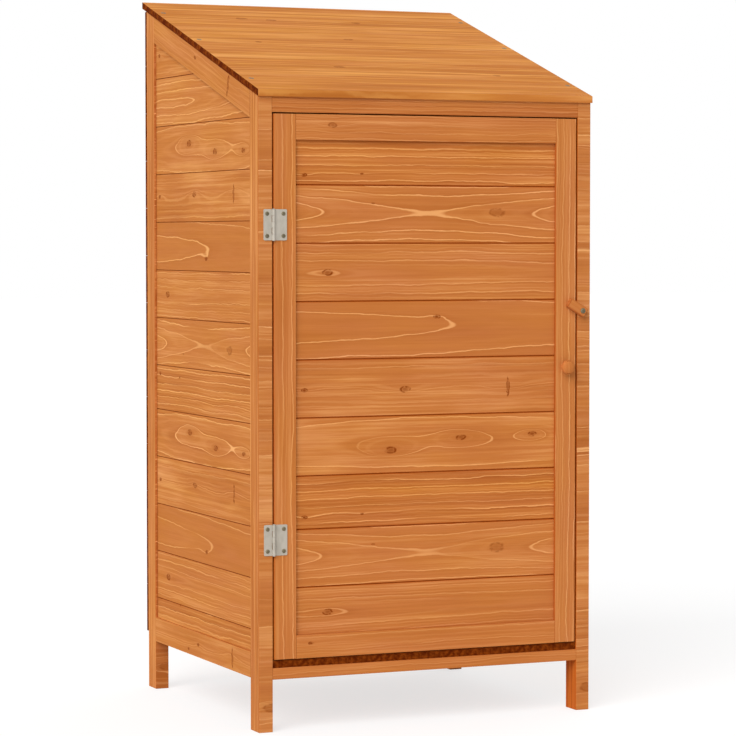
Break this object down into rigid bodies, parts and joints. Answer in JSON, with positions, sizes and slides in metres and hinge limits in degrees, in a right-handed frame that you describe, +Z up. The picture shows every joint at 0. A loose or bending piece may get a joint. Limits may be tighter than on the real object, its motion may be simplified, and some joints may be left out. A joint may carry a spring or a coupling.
{
  "type": "garden tool shed",
  "caption": "Small wooden garden tool shed on short legs with a sloping board roof, a boarded door on butt hinges, a knob, a turn button and inner shelves.",
  "frame": {"origin": "on the ground, under the middle of the shed's overall box", "axes": "+Z up, +X to the right as seen from the front, +Y to the back; the door faces -Y"},
  "size_m": [0.555, 0.531, 1.12],
  "materials": {
    "stained_fir": "orange-brown stain, satin",
    "dowel_wood": "bare",
    "zinc_plate": "zinc plated",
    "screw_steel": "dull zinc"
  },
  "bodies": {
    "cabinet": {"left_front_post": "stained_fir", "left_back_post": "stained_fir", "right_front_post": "stained_fir", "right_back_post": "stained_fir", "left_bottom_rail": "stained_fir", "left_top_rail": "stained_fir", "left_wall_boards": "stained_fir", "right_bottom_rail": "stained_fir", "right_top_rail": "stained_fir", "right_wall_boards": "stained_fir", "front_top_rail": "stained_fir", "front_bottom_rail": "stained_fir", "back_top_rail": "stained_fir", "back_bottom_rail": "stained_fir", "floor_bearer": "stained_fir", "back_wall_boards": "stained_fir", "floor_boards": "stained_fir", "roof_board_1": "stained_fir", "roof_board_2": "stained_fir", "roof_board_3": "stained_fir", "roof_board_4": "stained_fir", "roof_board_5": "stained_fir", "roof_board_6": "stained_fir", "door_stop": "stained_fir", "left_lower_ledger": "stained_fir", "right_lower_ledger": "stained_fir", "left_upper_ledger": "stained_fir", "right_upper_ledger": "stained_fir", "lower_shelf": "stained_fir", "upper_shelf": "stained_fir", "rail_dowels": "dowel_wood", "upper_hinge_frame_leaf": "zinc_plate", "lower_hinge_frame_leaf": "zinc_plate", "upper_hinge_pin": "zinc_plate", "lower_hinge_pin": "zinc_plate", "roof_screws": "screw_steel", "hinge_frame_screws": "screw_steel", "turn_button_screw": "screw_steel"},
    "door": {"door_hinge_stile": "stained_fir", "door_latch_stile": "stained_fir", "door_top_rail": "stained_fir", "door_bottom_rail": "stained_fir", "door_board_1": "stained_fir", "door_board_2": "stained_fir", "door_board_3": "stained_fir", "door_board_4": "stained_fir", "door_board_5": "stained_fir", "door_board_6": "stained_fir", "door_board_7": "stained_fir", "door_board_8": "stained_fir", "door_board_9": "stained_fir", "door_knob": "stained_fir", "upper_hinge_door_leaf": "zinc_plate", "lower_hinge_door_leaf": "zinc_plate", "hinge_door_screws": "screw_steel", "knob_screw": "screw_steel"},
    "turn_button": {"turn_button": "stained_fir"}
  },
  "joints": [
    {"name": "door_swing", "type": "hinge", "parent": "cabinet", "child": "door", "pos_m": [-0.2525, -0.25285, 0.521], "axis": [0, 0, -1], "range_deg": [0, 180]},
    {"name": "button_turn", "type": "hinge", "parent": "cabinet", "child": "turn_button", "pos_m": [0.259, -0.2553, 0.623], "axis": [0, -1, 0], "continuous": true}
  ]
}
